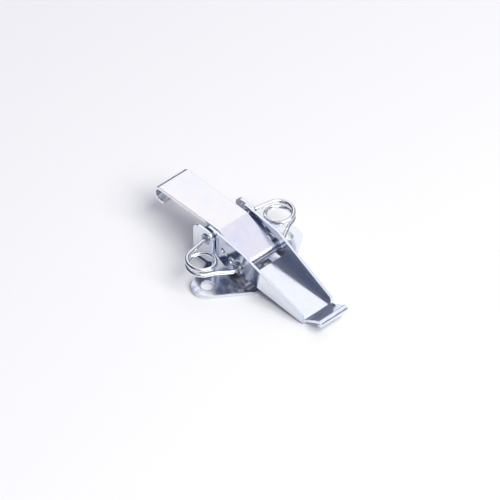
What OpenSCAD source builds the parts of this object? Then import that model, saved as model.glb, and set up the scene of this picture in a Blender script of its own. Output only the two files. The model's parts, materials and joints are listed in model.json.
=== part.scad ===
// Sprung toggle latch: a claw strap, a channel lever and two torsion springs on a
// stamped base. +X runs from the claw to the finger lip, +Z is away from the panel.
// The origin is midway between the two fixing holes, on the base's underside.

/* [Base] */
// Distance between the two fixing holes
hole_spacing = 43; // [40:0.5:50]
// Diameter of each fixing hole
hole_d = 5.6; // [4:0.1:6.5]
// Radius of the lobe round each fixing hole
lobe_r = 6.6; // [5.5:0.1:8]
// Thickness of the base sheet
base_t = 1.5; // [1.2:0.1:2]
// Thickness of the two upturned ears
ear_t = 1.4; // [1:0.1:1.6]

/* [Lever] */
// Thickness of the lever sheet
lever_t = 1.2; // [1:0.1:1.4]
// Outer width across the cheeks at the fulcrum
lever_w = 20.8; // [20.4:0.1:21]
// Outer width across the cheeks at the finger lip
lever_end_w = 17; // [16:0.1:19]
// How far the web reaches from the origin
web_end_x = 41.3; // [38:0.1:44]
// Length of the finger lip, measured along X
lip_run = 8; // [5:0.1:9]

/* [Strap] */
// Width of the claw strap
strap_w = 16; // [14:0.1:16.4]
// Thickness of the claw strap
strap_t = 1.4; // [1.2:0.1:1.6]
// Height of the strap's flat top face
strap_z = 17.3; // [17:0.1:17.5]
// Outer height of the claw
claw_h = 7.4; // [7:0.1:9]

/* [Springs] */
// Diameter of the spring wire
wire_d = 1.8; // [1.4:0.1:2]
// Mean radius of the coil
coil_r = 5.8; // [5:0.1:6]
// Rise of the coil for each turn
coil_pitch = 2.8; // [2.4:0.1:3.2]

/* [Hidden] */
$fn = 64;
// Running clearance on a radius
fit = 0.06;

// Fulcrum axis and strap pin axis, in the XZ plane
fulcrum = [-10.7, 13.6];
strap_axis = [6.2, 7.8];
// Travel of the strap pin in the lever's slots
take_up = 4;
slot_angle = atan2(fulcrum[1] - strap_axis[1], fulcrum[0] - strap_axis[0]);

// Tubular rivets and the parts threaded on them
tube_r = 1.7;
tube_bore_r = wire_d / 2 + fit;
head_r = 2.5;
head_t = 0.6;
washer_r = 3;
sleeve_r = 2.2;

// Stations across the width
cheek_out = lever_w / 2;
cheek_in = cheek_out - lever_t;
ear_gap = 0.5;
ear_in = cheek_out + ear_gap;
ear_out = ear_in + ear_t;

side_gap = 0.1;
washer_t = ear_gap - side_gap;
washer_y = cheek_out + side_gap / 2;
strap_head_y = cheek_out + ear_gap;
spacer_y = strap_w / 2 + side_gap;

// Ears, seen from the side
ear_x0 = -18.4;
ear_x1 = -7.2;
ear_top = 17.4;
ear_corner_r = 3;

// Nose of the base, under the lever
nose_x = 15.8;
nose_half = 12.4;
nose_cut = 1.4;

// Waist behind the lobes, where the plate narrows to the ears
waist_x = -9.6;
waist_r = 2;

// Margin of the plate behind and outside the ears
plate_rim = 0.6;
plate_x0 = ear_x0 - plate_rim;

// Lever profile, seen from the side
lever_nose_r = 4.7;
kink = [8, 16.2];
cheek_end_z = 3.7;
web_x = 11;
web_z = 5.9;
web_end_z = 1.5;
web_bottom_z = web_z - lever_t;
cheek_low = [-2.6, 4];
cheek_end_cut = 0.6;
cheek_hole = [-2.8, 11.4];
cheek_hole_r = 1.2;
lip_angle = 29;
lip_bend_r = 1.6;
roll_r = 0.85;
roll_turn = 265;
arc_step = 7.5;
lip_half = 7.1;

// Claw and strap
claw_r = claw_h / 2;
claw_x = -42.8;
claw_z = strap_z - claw_r;
claw_lip = 2.2;
bend_x = -8.8;
eye_bite = 0.1;
eye_r = tube_r + fit + strap_t - eye_bite;
eye_turn = 290;
bend_r = 3;

// Springs
coil_x = -3.8;
coil_y = 21.3;
coil_top_z = 13.2;
coil_turns = 1.5;
coil_steps = 24;
wire_sides = 10;
hook_in = 3.4;
leg_gap = 0.5;
leg_y = ear_out + head_t + leg_gap;

// Extrude an XZ outline across Y, from y0 to y1
module across(y0, y1) {
    translate([0, y1, 0]) rotate([90, 0, 0]) linear_extrude(height = y1 - y0) children();
}

// A cylinder along Y through a point of the XZ plane
module rod(at, r, y0, y1) {
    across(y0, y1) translate(at) circle(r = r);
}

// Point where a line from p touches a circle; side is 1 or -1
function tangent_point(c, r, p, side) =
    let (v = p - c, a = atan2(v[1], v[0]) + side * acos(r / norm(v)))
    c + r * [cos(a), sin(a)];

function direction(v) = atan2(v[1], v[0]);

// Points of an arc from angle a0 to a1, both included
function arc(c, r, a0, a1) =
    let (n = ceil(abs(a1 - a0) / arc_step))
    [for (i = [0 : n]) let (a = a0 + (a1 - a0) * i / n) c + r * [cos(a), sin(a)]];

function reverse(list) = [for (i = [len(list) - 1 : -1 : 0]) list[i]];

// Points on one side of a path, at distance d to its left
function beside(path, d) = [for (i = [0 : len(path) - 1])
    let (t = path[min(i + 1, len(path) - 1)] - path[max(i - 1, 0)], u = t / norm(t))
    path[i] + d * [-u[1], u[0]]];

// Closed outline of a strip of sheet, t thick, that follows a path
function strip(path, t) = concat(beside(path, t / 2), reverse(beside(path, -t / 2)));

// A fillet of radius r that replaces a path's corner c, between points a and b
function fillet(a, c, b, r) =
    let (u = (a - c) / norm(a - c), v = (b - c) / norm(b - c),
         half = acos(u * v) / 2,
         m = (u + v) / norm(u + v),
         centre = c + m * r / sin(half),
         a0 = direction(c + u * r / tan(half) - centre),
         a1 = direction(c + v * r / tan(half) - centre),
         turn = (a1 - a0) % 360)
    arc(centre, r, a0, a0 + (turn > 180 ? turn - 360 : turn < -180 ? turn + 360 : turn));

// ---- base ----

module base_outline() {
    lobe = [0, hole_spacing / 2];
    nose_corner = [nose_x - nose_cut, nose_half];
    rear = [plate_x0, ear_out + plate_rim];
    waist = [waist_x, ear_out + plate_rim];
    to_waist = tangent_point(lobe, lobe_r, waist, -1);
    to_nose = tangent_point(lobe, lobe_r, nose_corner, 1);
    half = concat([rear], fillet(rear, waist, to_waist, waist_r),
                  arc(lobe, lobe_r, direction(to_waist - lobe), direction(to_nose - lobe)),
                  [nose_corner, [nose_x, nose_half - nose_cut]]);
    polygon(concat(half, reverse([for (p = half) [p[0], -p[1]]])));
}

module ear_outline() {
    corner_z = ear_top - ear_corner_r;
    difference() {
        polygon(concat(
            [[ear_x0, base_t / 2], [ear_x1, base_t / 2]],
            arc([ear_x1 - ear_corner_r, corner_z], ear_corner_r, 0, 90),
            arc([ear_x0 + ear_corner_r, corner_z], ear_corner_r, 90, 180)
        ));
        translate(fulcrum) circle(r = tube_r);
    }
}

module base_plate() {
    color("silver") {
        difference() {
            linear_extrude(height = base_t) base_outline();
            for (s = [-1, 1])
                translate([0, s * hole_spacing / 2, -1]) cylinder(d = hole_d, h = base_t + 2);
        }
        across(ear_in, ear_out) ear_outline();
        across(-ear_out, -ear_in) ear_outline();
    }
}

// ---- lever ----

// Side outline of a cheek, from its round nose to the finger lip
module cheek_outline() {
    nose_low = tangent_point(fulcrum, lever_nose_r, cheek_low, -1);
    nose_top = tangent_point(fulcrum, lever_nose_r, kink, 1);
    top_angle = direction(nose_top - fulcrum);
    low_angle = direction(nose_low - fulcrum) + 360;
    difference() {
        polygon(concat(
            arc(fulcrum, lever_nose_r, top_angle, low_angle),
            [cheek_low, [web_x, web_bottom_z], [web_end_x, web_end_z - lever_t],
             [web_end_x - cheek_end_cut, cheek_end_z], kink]
        ));
        translate(fulcrum) circle(r = tube_r + fit);
        translate(cheek_hole) circle(r = cheek_hole_r);
        slot();
    }
}

// Slot in which the strap rivet slides; its round ends are part of its wall
module slot() {
    r = tube_r + fit;
    to = strap_axis + take_up * [cos(slot_angle), sin(slot_angle)];
    polygon(concat(arc(strap_axis, r, slot_angle - 270, slot_angle - 90),
                   arc(to, r, slot_angle - 90, slot_angle + 90)));
}

// Web, finger lip and rolled edge, seen from the side
module web_outline() {
    t2 = lever_t / 2;
    start = [web_x, web_z - t2];
    corner = [web_end_x, web_end_z - t2];
    lip_dir = [cos(lip_angle), sin(lip_angle)];
    tip = corner + lip_dir * lip_run / cos(lip_angle);
    roll_centre = tip + roll_r * [lip_dir[1], -lip_dir[0]];
    path = concat([start], fillet(start, corner, tip, lip_bend_r),
                  arc(roll_centre, roll_r, lip_angle + 90, lip_angle + 90 - roll_turn));
    polygon(strip(path, lever_t));
}

// Plan outlines: a cheek on the +Y side, and the web with its lip
module cheek_plan() {
    end = lever_end_w / 2;
    polygon([
        [fulcrum[0] - 2 * lever_nose_r, cheek_in], [kink[0], cheek_in],
        [web_end_x, end - lever_t], [web_end_x, end],
        [kink[0], cheek_out], [fulcrum[0] - 2 * lever_nose_r, cheek_out]
    ]);
}

module web_plan() {
    tip_x = web_end_x + 2 * lip_run;
    web_half = (cheek_in + cheek_out) / 2;
    end_half = lever_end_w / 2 - lever_t / 2;
    polygon([
        [kink[0], web_half], [web_end_x, end_half], [web_end_x + lever_t, lip_half], [tip_x, lip_half],
        [tip_x, -lip_half], [web_end_x + lever_t, -lip_half], [web_end_x, -end_half],
        [kink[0], -web_half]
    ]);
}

module lever() {
    color("gainsboro") {
        for (s = [0, 1]) mirror([0, s, 0]) intersection() {
            linear_extrude(height = 2 * kink[1]) cheek_plan();
            across(0, lever_w) cheek_outline();
        }
        intersection() {
            linear_extrude(height = 2 * kink[1]) web_plan();
            across(-lever_w, lever_w) web_outline();
        }
    }
}

// ---- strap ----

// Centre line of the strap: claw lip, claw, flat, bend, slope and the eye's curl
module strap_outline() {
    t2 = strap_t / 2;
    claw_c = [claw_x, claw_z];
    bend = [bend_x, strap_z - t2];
    eye_path_r = eye_r - t2;
    to_axis = strap_axis - bend;
    fall = direction(to_axis) + asin(eye_path_r / norm(to_axis));
    eye_start = fall + 90;
    eye_top = strap_axis + eye_path_r * [cos(eye_start), sin(eye_start)];
    flat_start = [claw_x, strap_z - t2];
    path = concat(
        [[claw_x + claw_lip, claw_z - claw_r + t2]],
        arc(claw_c, claw_r - t2, 270, 90),
        fillet(flat_start, bend, eye_top, bend_r),
        arc(strap_axis, eye_path_r, eye_start, eye_start - eye_turn)
    );
    polygon(strip(path, strap_t));
}

module claw_strap() {
    color("white") difference() {
        across(-strap_w / 2, strap_w / 2) strap_outline();
        rod(strap_axis, tube_r + fit, -strap_w, strap_w);
    }
}

// ---- pins, sleeve, washers ----

// Tubular rivet along Y with a rolled head at each end, its grip reaching half each way
module tubular_rivet(at, half) {
    difference() {
        union() {
            rod(at, tube_r, -half - head_t / 2, half + head_t / 2);
            rod(at, head_r, half, half + head_t);
            rod(at, head_r, -half - head_t, -half);
        }
        rod(at, tube_bore_r, -2 * half, 2 * half);
    }
}

module ring(at, r, y0, y1) {
    difference() {
        rod(at, r, y0, y1);
        rod(at, tube_r + fit, y0 - 1, y1 + 1);
    }
}

module fulcrum_tube() color("lightsteelblue") tubular_rivet(fulcrum, ear_out);
module strap_tube() color("lightsteelblue") tubular_rivet(strap_axis, strap_head_y);
module fulcrum_sleeve() color("lightsteelblue")
    ring(fulcrum, sleeve_r, side_gap - cheek_in, cheek_in - side_gap);
module right_fulcrum_washer() color("silver")
    ring(fulcrum, washer_r, washer_y, washer_y + washer_t);
module left_fulcrum_washer() mirror([0, 1, 0]) right_fulcrum_washer();
module right_strap_washer() color("silver")
    ring(strap_axis, washer_r, washer_y, washer_y + washer_t);
module left_strap_washer() mirror([0, 1, 0]) right_strap_washer();
module right_strap_spacer() color("silver")
    ring(strap_axis, washer_r, spacer_y, cheek_in - side_gap);
module left_strap_spacer() mirror([0, 1, 0]) right_strap_spacer();

// ---- springs ----

// A point of the spring on a pivot's axis, at a distance y from the middle
function spring_end(at, y) = [at[0], y, at[1]];

// Centre line of the right-hand spring: fulcrum hook, leg, coil, leg, strap rivet hook
spring_path = concat(
    [spring_end(fulcrum, leg_y - hook_in), spring_end(fulcrum, leg_y)],
    [for (i = [0 : coil_turns * coil_steps]) let (a = 180 - 360 * i / coil_steps)
        [coil_x + coil_r * cos(a), coil_y + coil_r * sin(a),
         coil_top_z - coil_pitch * i / coil_steps]],
    [spring_end(strap_axis, leg_y), spring_end(strap_axis, leg_y - hook_in)]
);

// Sweep the wire's round section along a path of points
module wire(path) {
    n = len(path);
    rings = [for (i = [0 : n - 1])
        let (d = path[min(i + 1, n - 1)] - path[max(i - 1, 0)],
             t = d / norm(d),
             side = cross(t, [0, 0, 1]) / norm(cross(t, [0, 0, 1])),
             up = cross(side, t))
        for (k = [0 : wire_sides - 1]) let (a = 360 * k / wire_sides)
            path[i] + wire_d / 2 * (cos(a) * side + sin(a) * up)];
    walls = [for (i = [0 : n - 2]) for (k = [0 : wire_sides - 1])
        let (k2 = (k + 1) % wire_sides, a = i * wire_sides, b = a + wire_sides)
        [a + k, a + k2, b + k2, b + k]];
    start = [[for (k = [wire_sides - 1 : -1 : 0]) k]];
    stop = [[for (k = [0 : wire_sides - 1]) (n - 1) * wire_sides + k]];
    polyhedron(points = rings, faces = concat(walls, start, stop), convexity = 8);
}

module right_spring() color("whitesmoke") wire(spring_path);
module left_spring() mirror([0, 1, 0]) right_spring();

base_plate();
lever();
claw_strap();
fulcrum_tube();
fulcrum_sleeve();
left_fulcrum_washer();
right_fulcrum_washer();
strap_tube();
left_strap_spacer();
right_strap_spacer();
left_strap_washer();
right_strap_washer();
left_spring();
right_spring();
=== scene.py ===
"""Bright zinc-plated toggle latch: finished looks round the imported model. Units are metres."""
import json
import math

import bmesh
import bpy
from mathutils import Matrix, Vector


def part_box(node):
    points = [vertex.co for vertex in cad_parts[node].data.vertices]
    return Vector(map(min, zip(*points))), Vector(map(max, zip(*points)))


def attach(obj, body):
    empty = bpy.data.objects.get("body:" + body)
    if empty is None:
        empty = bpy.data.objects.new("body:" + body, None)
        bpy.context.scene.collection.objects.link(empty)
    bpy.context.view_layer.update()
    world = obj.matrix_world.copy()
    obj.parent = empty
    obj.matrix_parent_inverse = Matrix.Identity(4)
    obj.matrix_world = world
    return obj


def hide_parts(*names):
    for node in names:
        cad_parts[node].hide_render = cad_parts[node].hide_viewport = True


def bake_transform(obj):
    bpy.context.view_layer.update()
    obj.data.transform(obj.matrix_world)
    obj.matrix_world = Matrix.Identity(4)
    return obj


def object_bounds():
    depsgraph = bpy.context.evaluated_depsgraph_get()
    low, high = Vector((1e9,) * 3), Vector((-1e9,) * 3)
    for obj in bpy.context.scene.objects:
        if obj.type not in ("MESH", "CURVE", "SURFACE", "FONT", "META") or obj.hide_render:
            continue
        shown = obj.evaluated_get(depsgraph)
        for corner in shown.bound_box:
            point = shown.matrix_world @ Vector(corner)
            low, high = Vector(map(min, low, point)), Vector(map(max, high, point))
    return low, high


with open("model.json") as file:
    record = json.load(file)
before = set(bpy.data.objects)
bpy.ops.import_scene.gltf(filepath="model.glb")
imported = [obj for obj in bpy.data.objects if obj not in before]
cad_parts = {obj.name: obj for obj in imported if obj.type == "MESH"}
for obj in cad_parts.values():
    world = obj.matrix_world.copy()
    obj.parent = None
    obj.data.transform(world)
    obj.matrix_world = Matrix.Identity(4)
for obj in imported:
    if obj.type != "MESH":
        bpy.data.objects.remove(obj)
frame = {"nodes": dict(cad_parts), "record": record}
cad_lo, cad_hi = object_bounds()
MM = 0.001


# ---- measures taken from the frame ----

def joint_place(name):
    """Axis point of a joint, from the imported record."""
    for joint in frame["record"]["behaviour"]["joints"]:
        if joint["name"] == name:
            return Vector(joint["pos_m"])
    raise KeyError(name)


FULCRUM = joint_place("lever_pivot")
STRAP_AXIS = joint_place("strap_pivot")


# ---- camera ----

AZIMUTH = math.radians(47)
ELEVATION = math.radians(42)
DISTANCE = 3.0
PIXELS_PER_MM = 2.5
FRAME_PIXELS = 500
SENSOR = 36.0
CLIP = (0.01, 20)
# Aim point: up from the origin to the base's top face, then right and up across the view
BASE_TOP = 1.5 * MM
AIM_RIGHT = 1.2 * MM
AIM_UP = 4.2 * MM


def make_camera():
    """Long lens, looking down at the lever's end and the left side of the latch."""
    back = Vector((
        math.sin(AZIMUTH) * math.cos(ELEVATION),
        -math.cos(AZIMUTH) * math.cos(ELEVATION),
        math.sin(ELEVATION),
    ))
    right = Vector((math.cos(AZIMUTH), math.sin(AZIMUTH), 0))
    up = back.cross(right)
    aim = Vector((0, 0, BASE_TOP)) + right * AIM_RIGHT + up * AIM_UP
    data = bpy.data.cameras.new("camera")
    data.sensor_width = SENSOR
    data.lens = PIXELS_PER_MM * SENSOR / FRAME_PIXELS * DISTANCE / MM
    data.clip_start, data.clip_end = CLIP
    camera = bpy.data.objects.new("camera", data)
    bpy.context.scene.collection.objects.link(camera)
    camera.location = aim + back * DISTANCE
    camera.rotation_mode = "QUATERNION"
    camera.rotation_quaternion = (-back).to_track_quat("-Z", "Y")
    bpy.context.scene.camera = camera
    bpy.context.scene.view_settings.view_transform = "Standard"


# ---- materials ----

def set_stops(ramp, stops):
    """Give a colour ramp its (position, colour) stops."""
    elements = ramp.color_ramp.elements
    while len(elements) < len(stops):
        elements.new(0.5)
    for element, (place, colour) in zip(elements, stops):
        element.position = place
        element.color = (*colour, 1)


def colour_mix(tree, blend):
    """Sockets of a new colour mix node: factor, first, second and result."""
    node = tree.nodes.new("ShaderNodeMix")
    node.data_type = "RGBA"
    node.blend_type = blend
    first, second = [socket for socket in node.inputs if socket.type == "RGBA"]
    result = next(socket for socket in node.outputs if socket.type == "RGBA")
    return node.inputs[0], first, second, result


class Graph:
    """A material's node tree, with short calls to add and join nodes."""

    def __init__(self, name):
        self.material = bpy.data.materials.new(name)
        self.material.use_nodes = True
        self.tree = self.material.node_tree
        self.tree.nodes.clear()
        self.output = self.add("ShaderNodeOutputMaterial")
        self.shader = self.add("ShaderNodeBsdfPrincipled")
        self.join(self.shader, "BSDF", self.output, "Surface")

    def add(self, kind, **values):
        node = self.tree.nodes.new(kind)
        for key, value in values.items():
            setattr(node, key, value)
        return node

    def join(self, a, out, b, into):
        self.tree.links.new(a.outputs[out], b.inputs[into])

    def noise(self, scale, detail=4.0, stretch=(1, 1, 1), roughness=0.5):
        """Noise in object space, stretched along an axis where asked."""
        coord = self.add("ShaderNodeTexCoord")
        mapping = self.add("ShaderNodeMapping")
        mapping.inputs["Scale"].default_value = stretch
        noise = self.add("ShaderNodeTexNoise")
        noise.inputs["Scale"].default_value = scale
        noise.inputs["Detail"].default_value = detail
        noise.inputs["Roughness"].default_value = roughness
        self.join(coord, "Object", mapping, "Vector")
        self.join(mapping, "Vector", noise, "Vector")
        return noise

    def ramp(self, source, out, stops):
        ramp = self.add("ShaderNodeValToRGB")
        set_stops(ramp, stops)
        self.join(source, out, ramp, "Fac")
        return ramp

    def levels(self, source, out, low, high, from_low=0.3, from_high=0.7):
        node = self.add("ShaderNodeMapRange")
        node.inputs["From Min"].default_value = from_low
        node.inputs["From Max"].default_value = from_high
        node.inputs["To Min"].default_value = low
        node.inputs["To Max"].default_value = high
        self.join(source, out, node, "Value")
        return node


# How metallic the plate is; the rest is its pale haze
METAL = 0.97
# Rise of an upper face's normal, from where the painted sheen (a paler, less metallic finish) starts to
# where it is full
UPPER_FACE = (0.90, 0.97)
# Faint blue and straw clouds: place along the noise and share of each colour channel
TINTS = [
    (0.30, (0.94, 0.97, 1.02)),
    (0.48, (1.00, 1.00, 1.00)),
    (0.60, (1.02, 1.00, 0.97)),
    (0.72, (0.95, 0.97, 1.03)),
]
# Dark specks: darkest and lightest multiplier, and the noise values that give them
SPECKS = (0.88, 1.0, 0.32, 0.46)
# Share of the roughness on the clearest and haziest spots
HAZE = (0.75, 1.45)
# Noise scales, in features to the metre
CLOUD_SCALE = 90
SPECK_SCALE = 2600
HAZE_SCALE = 320
SCRATCH_SCALE = 700
WAVE_SCALE = 140
# Relief of the fine scratches and of the sheet's broad waves: strength and depth
SCRATCH_RELIEF = (0.05, 0.02 * MM)
WAVE_RELIEF = (0.03, 0.10 * MM)
# Rays that find the edges to ease
EDGE_SAMPLES = 4


def plate_colour(g, tone):
    """Base colour: clouded tone with dark specks."""
    stops = [(place, tuple(t * share for t, share in zip(tone, shares))) for place, shares in TINTS]
    tint = g.ramp(g.noise(CLOUD_SCALE, detail=3), "Fac", stops)
    dark = g.levels(g.noise(SPECK_SCALE, detail=2), "Fac", *SPECKS)
    factor, plain, specked, blended = colour_mix(g.tree, "MULTIPLY")
    factor.default_value = 1.0
    g.tree.links.new(tint.outputs["Color"], plain)
    g.tree.links.new(dark.outputs["Result"], specked)
    g.tree.links.new(blended, g.shader.inputs["Base Color"])


def plate_metal(g, painted_sheen_metal):
    """Metallic all over, or less metallic on the faces that look up, which paints a paler sheen on them."""
    if painted_sheen_metal == METAL:
        g.shader.inputs["Metallic"].default_value = METAL
        return
    # Faces that look up are made less metallic and so read paler: a painted sheen
    height = g.add("ShaderNodeSeparateXYZ")
    g.join(g.add("ShaderNodeTexCoord"), "Normal", height, "Vector")
    g.join(g.levels(height, "Z", METAL, painted_sheen_metal, *UPPER_FACE), "Result", g.shader, "Metallic")


def plate_relief(g, grain, edge):
    """Eased edges, then broad waves, then fine scratches along the grain."""
    soft = g.add("ShaderNodeBevel", samples=EDGE_SAMPLES)
    soft.inputs["Radius"].default_value = edge
    waves = g.noise(WAVE_SCALE, detail=1)
    scratches = g.noise(SCRATCH_SCALE, detail=6, stretch=grain, roughness=0.65)
    last = soft
    for height, relief in ((waves, WAVE_RELIEF), (scratches, SCRATCH_RELIEF)):
        bump = g.add("ShaderNodeBump")
        bump.inputs["Strength"].default_value, bump.inputs["Distance"].default_value = relief
        g.join(last, "Normal", bump, "Normal")
        g.join(height, "Fac", bump, "Height")
        last = bump
    g.join(last, "Normal", g.shader, "Normal")


def zinc(name, tone, rough, grain=(1, 1, 1), edge=0.25 * MM, painted_sheen_metal=METAL):
    """Bright zinc plate. grain stretches the scratches; the last argument is how metallic the upper faces
    stay, and lower values paint a paler sheen on them.
    """
    g = Graph(name)
    plate_colour(g, tone)
    plate_metal(g, painted_sheen_metal)
    low, high = (rough * share for share in HAZE)
    g.join(g.levels(g.noise(HAZE_SCALE, detail=5), "Fac", low, high), "Result", g.shader, "Roughness")
    plate_relief(g, grain, edge)
    return g.material


def floor_paper():
    """Plain white paper."""
    g = Graph("floor_paper")
    g.shader.inputs["Base Color"].default_value = (0.93, 0.93, 0.94, 1)
    g.shader.inputs["Roughness"].default_value = 0.9
    g.shader.inputs["Specular IOR Level"].default_value = 0.1
    return g.material


MATERIALS = {
    "base_zinc": zinc("base_zinc", (0.80, 0.83, 0.90), 0.15, grain=(0.12, 1, 1)),
    # The lever and strip get a painted sheen on their upper faces
    "lever_zinc": zinc("lever_zinc", (0.80, 0.85, 0.93), 0.12, grain=(0.1, 1, 1), painted_sheen_metal=0.87),
    "strap_zinc": zinc("strap_zinc", (0.87, 0.87, 0.90), 0.17, grain=(0.1, 1, 1), painted_sheen_metal=0.88),
    "spring_wire": zinc("spring_wire", (0.80, 0.82, 0.86), 0.15, edge=0.1 * MM),
    "rivet_zinc": zinc("rivet_zinc", (0.42, 0.46, 0.54), 0.22, grain=(1, 1, 0.15), edge=0.12 * MM),
}


# ---- shading and linking ----

# Edges that turn by more than this stay sharp
SHARP_ANGLE = math.radians(35)
# How far a corner's shading leans to its largest face, from 1 to 100
FACE_WEIGHT = 100


def flatten_normals(obj):
    """Shade wide faces flat and let only their rolled edges curve."""
    modifier = obj.modifiers.new("weighted", "WEIGHTED_NORMAL")
    modifier.keep_sharp = True
    modifier.weight = FACE_WEIGHT
    evaluated = obj.evaluated_get(bpy.context.evaluated_depsgraph_get())
    final = bpy.data.meshes.new_from_object(evaluated)
    obj.modifiers.clear()
    obj.data = final


def link(name, bm, slot):
    """New smooth-shaded object from a bmesh, in its slot's material."""
    mesh = bpy.data.meshes.new(name)
    bm.to_mesh(mesh)
    bm.free()
    mesh.shade_smooth()
    mesh.set_sharp_from_angle(angle=SHARP_ANGLE)
    mesh.materials.append(MATERIALS[slot])
    obj = bpy.data.objects.new(name, mesh)
    bpy.context.scene.collection.objects.link(obj)
    return obj


# ---- stamped sheet pieces ----

WELD = 0.002 * MM
# Neighbouring faces closer than this are one flat face
FLAT_ANGLE = math.radians(0.5)
# Edges that turn by more than this are cut edges or folds
EDGE_ANGLE = math.radians(25)
EDGE_SEGMENTS = 3


def pressed_sheet(node, name, body, slot, radius):
    """The node's sheet with rolled-over stamped edges and eased folds, in place of its sharp solid."""
    bm = bmesh.new()
    bm.from_mesh(frame["nodes"][node].data)
    bmesh.ops.remove_doubles(bm, verts=bm.verts, dist=WELD)
    bmesh.ops.dissolve_limit(bm, angle_limit=FLAT_ANGLE, verts=bm.verts, edges=bm.edges)
    edges = [e for e in bm.edges if len(e.link_faces) == 2 and e.calc_face_angle(0) > EDGE_ANGLE]
    bmesh.ops.bevel(bm, geom=edges, offset=radius, offset_type="OFFSET", segments=EDGE_SEGMENTS,
                    profile=0.5, affect="EDGES", clamp_overlap=True)
    bmesh.ops.triangulate(bm, faces=[f for f in bm.faces if len(f.verts) > 4])
    obj = link(name, bm, slot)
    flatten_normals(obj)
    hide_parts(node)
    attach(obj, body)


# ---- springs ----

# The wire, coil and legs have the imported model's measures
WIRE_R = 0.9 * MM
WIRE_SIDES = 20
# Share of the wire's radius that its cut ends are chamfered by
CUT_SHARE = 0.18
COIL_R = 5.8 * MM
COIL_X = -3.8 * MM
COIL_Y = 21.3 * MM
COIL_TOP = 13.2 * MM
COIL_PITCH = 2.8 * MM
COIL_TURNS = 1.5
COIL_STEPS = 64
LEG_Y = 13.4 * MM
HOOK = 3.4 * MM
# Spacing of the rings along the wire, and how often its corners are averaged
PATH_STEP = 0.25 * MM
EASE_ROUNDS = 14


def resample(points, step):
    """Points at an even spacing along a polyline."""
    out = [points[0].copy()]
    left = step
    for a, b in zip(points, points[1:]):
        run = (b - a).length
        at = left
        while at <= run:
            out.append(a.lerp(b, at / run))
            at += step
        left = at - run
    out.append(points[-1].copy())
    return out


def ease(points, rounds):
    """Round the corners of a path; its two ends stay."""
    for _ in range(rounds):
        points = [points[0]] + [
            (a + b * 2 + c) / 4 for a, b, c in zip(points, points[1:], points[2:])
        ] + [points[-1]]
    return points


def spring_path(side):
    """Fulcrum hook, leg, upright coil, leg and strap-rivet hook, on the +Y side; side -1 mirrors it."""
    coil = []
    for i in range(int(COIL_TURNS * COIL_STEPS) + 1):
        a = math.pi - 2 * math.pi * i / COIL_STEPS
        coil.append(Vector((
            COIL_X + COIL_R * math.cos(a),
            COIL_Y + COIL_R * math.sin(a),
            COIL_TOP - COIL_PITCH * i / COIL_STEPS,
        )))
    start = [Vector((FULCRUM.x, LEG_Y - HOOK, FULCRUM.z)), Vector((FULCRUM.x, LEG_Y, FULCRUM.z))]
    stop = [Vector((STRAP_AXIS.x, LEG_Y, STRAP_AXIS.z)),
            Vector((STRAP_AXIS.x, LEG_Y - HOOK, STRAP_AXIS.z))]
    path = ease(resample(start + coil + stop, PATH_STEP), EASE_ROUNDS)
    return [Vector((p.x, p.y * side, p.z)) for p in path]


def tube(bm, path, radius, sides):
    """Round wire along a path, with chamfered cut ends."""
    last = len(path) - 1
    across = (path[1] - path[0]).cross(Vector((0, 0, 1)))
    rings = []
    for i, centre in enumerate(path):
        t = (path[min(i + 1, last)] - path[max(i - 1, 0)]).normalized()
        across = (across - t * across.dot(t)).normalized()
        up = t.cross(across)
        r = radius * (1 - CUT_SHARE) if i in (0, last) else radius
        rings.append([
            bm.verts.new(centre + (across * math.cos(a) + up * math.sin(a)) * r)
            for a in (2 * math.pi * k / sides for k in range(sides))
        ])
    for one, two in zip(rings, rings[1:]):
        for k in range(sides):
            bm.faces.new((one[k], two[k], two[(k + 1) % sides], one[(k + 1) % sides]))
    bm.faces.new(rings[0])
    bm.faces.new(list(reversed(rings[-1])))
    bmesh.ops.recalc_face_normals(bm, faces=bm.faces)


def make_spring(name, node, side):
    """Spring wire between the lever and the strap rivet."""
    bm = bmesh.new()
    tube(bm, spring_path(side), WIRE_R, WIRE_SIDES)
    obj = link(name, bm, "spring_wire")
    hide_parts(node)
    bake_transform(obj)


# ---- rivets ----

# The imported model's measures, with a bore 0.01 mm wider
LATHE_SIDES = 48
TUBE_R = 1.7 * MM
BORE_R = 0.97 * MM
HEAD_R = 2.5 * MM
HEAD_T = 0.6 * MM
# Steps round each head's roll
ROLL_STEPS = 10


def lathe(bm, axis_point, profile, sides):
    """Closed ring of (radius, y) points turned round an axis along Y."""
    rings = []
    for k in range(sides):
        a = 2 * math.pi * k / sides
        out = Vector((math.cos(a), 0, math.sin(a)))
        rings.append([bm.verts.new(Vector((axis_point.x, y, axis_point.z)) + out * r)
                      for r, y in profile])
    n = len(profile)
    for k in range(sides):
        one, two = rings[k], rings[(k + 1) % sides]
        for i in range(n):
            bm.faces.new((one[i], one[(i + 1) % n], two[(i + 1) % n], two[i]))
    bmesh.ops.recalc_face_normals(bm, faces=bm.faces)


def make_rivet(name, node, body, axis_point):
    """Tubular rivet whose two ends are rolled over into smooth domed heads."""
    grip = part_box(node)[1].y - HEAD_T
    middle = (HEAD_R + BORE_R) / 2
    reach = (HEAD_R - BORE_R) / 2
    turns = [math.pi * i / ROLL_STEPS for i in range(ROLL_STEPS + 1)]
    head = [(middle + reach * math.cos(a), grip + HEAD_T * math.sin(a)) for a in turns]
    profile = [(TUBE_R, -grip), (TUBE_R, grip)] + head
    profile += [(r, -y) for r, y in reversed(head)]
    bm = bmesh.new()
    lathe(bm, axis_point, profile, LATHE_SIDES)
    obj = link(name, bm, "rivet_zinc")
    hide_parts(node)
    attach(obj, body)


# ---- stage and light ----

FLOOR_HALF = 1.5
FLOOR_GAP = 0.05 * MM


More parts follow.
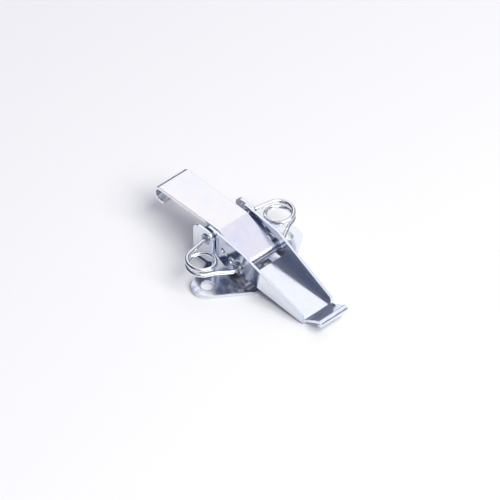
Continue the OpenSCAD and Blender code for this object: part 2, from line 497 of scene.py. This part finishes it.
def make_floor():
    """Sheet of white paper just under the latch."""
    bm = bmesh.new()
    bmesh.ops.create_grid(bm, x_segments=1, y_segments=1, size=FLOOR_HALF)
    mesh = bpy.data.meshes.new("floor")
    bm.to_mesh(mesh)
    bm.free()
    mesh.materials.append(floor_paper())
    obj = bpy.data.objects.new("floor", mesh)
    obj.location.z = cad_lo.z - FLOOR_GAP
    bpy.context.scene.collection.objects.link(obj)


KEY_FROM = Vector((0.82, 0.10, 1.00))
KEY_SIZE = 1.1
KEY_POWER = 16
KEY_COLOUR = (1.0, 0.99, 0.90)


def make_key_light():
    """Wide soft light from the lever's end, aimed at the origin."""
    data = bpy.data.lights.new("key", "AREA")
    data.shape = "SQUARE"
    data.size = KEY_SIZE
    data.energy = KEY_POWER
    data.color = KEY_COLOUR
    obj = bpy.data.objects.new("key", data)
    obj.location = KEY_FROM
    obj.rotation_mode = "QUATERNION"
    obj.rotation_quaternion = (-KEY_FROM).to_track_quat("-Z", "Y")
    bpy.context.scene.collection.objects.link(obj)


# Ceiling colour by the height of the direction: dark horizon, lilac-white above, greyer overhead
CEILING = [
    (0.00, (0.014, 0.020, 0.050)),
    (0.42, (0.020, 0.030, 0.080)),
    (0.58, (0.300, 0.330, 0.480)),
    (0.72, (0.740, 0.730, 0.870)),
    (0.87, (0.900, 0.880, 1.020)),
    (0.96, (0.440, 0.470, 0.580)),
]
# Patches over it: direction, cosines where the patch starts and is full, and colour
PATCHES = [
    ((-0.47, 0.52, 0.71), (0.84, 0.94), (1.12, 1.10, 1.13)),
    ((-0.50, -0.60, 0.62), (0.76, 0.88), (0.012, 0.024, 0.085)),
]


def make_world():
    """Studio with a pale ceiling, a white card behind the latch and a deep-blue side."""
    world = bpy.data.worlds.new("studio")
    world.use_nodes = True
    bpy.context.scene.world = world
    tree = world.node_tree
    tree.nodes.clear()
    new, join = tree.nodes.new, tree.links.new
    out, back = new("ShaderNodeOutputWorld"), new("ShaderNodeBackground")
    coord, split = new("ShaderNodeTexCoord"), new("ShaderNodeSeparateXYZ")
    join(coord.outputs["Generated"], split.inputs[0])
    ramp = new("ShaderNodeValToRGB")
    set_stops(ramp, CEILING)
    join(split.outputs["Z"], ramp.inputs["Fac"])
    colour = ramp.outputs["Color"]
    for direction, edge, tone in PATCHES:
        dot = new("ShaderNodeVectorMath")
        dot.operation = "DOT_PRODUCT"
        dot.inputs[1].default_value = Vector(direction).normalized()
        join(coord.outputs["Generated"], dot.inputs[0])
        mask = new("ShaderNodeMapRange")
        mask.interpolation_type = "SMOOTHSTEP"
        mask.inputs["From Min"].default_value, mask.inputs["From Max"].default_value = edge
        join(dot.outputs["Value"], mask.inputs["Value"])
        factor, under, over, mixed = colour_mix(tree, "MIX")
        join(mask.outputs["Result"], factor)
        join(colour, under)
        over.default_value = (*tone, 1)
        colour = mixed
    join(colour, back.inputs["Color"])
    join(back.outputs["Background"], out.inputs["Surface"])


# ---- build ----

make_camera()
make_world()
make_key_light()
make_floor()

pressed_sheet("base_plate", "base_pressing", "base", "base_zinc", 0.16 * MM)
pressed_sheet("lever", "lever_pressing", "lever", "lever_zinc", 0.16 * MM)
pressed_sheet("claw_strap", "claw_strip", "claw", "strap_zinc", 0.18 * MM)
make_spring("left_torsion_spring", "left_spring", -1)
make_spring("right_torsion_spring", "right_spring", 1)
make_rivet("fulcrum_rivet", "fulcrum_tube", "base", FULCRUM)
make_rivet("strap_rivet", "strap_tube", "strap_carriage", STRAP_AXIS)

# The nodes that still show are the sleeve, washers and spacers
for part in frame["record"]["subparts"]:
    for place in frame["nodes"][part["node"]].material_slots:
        place.material = MATERIALS[part["material_slot"]]
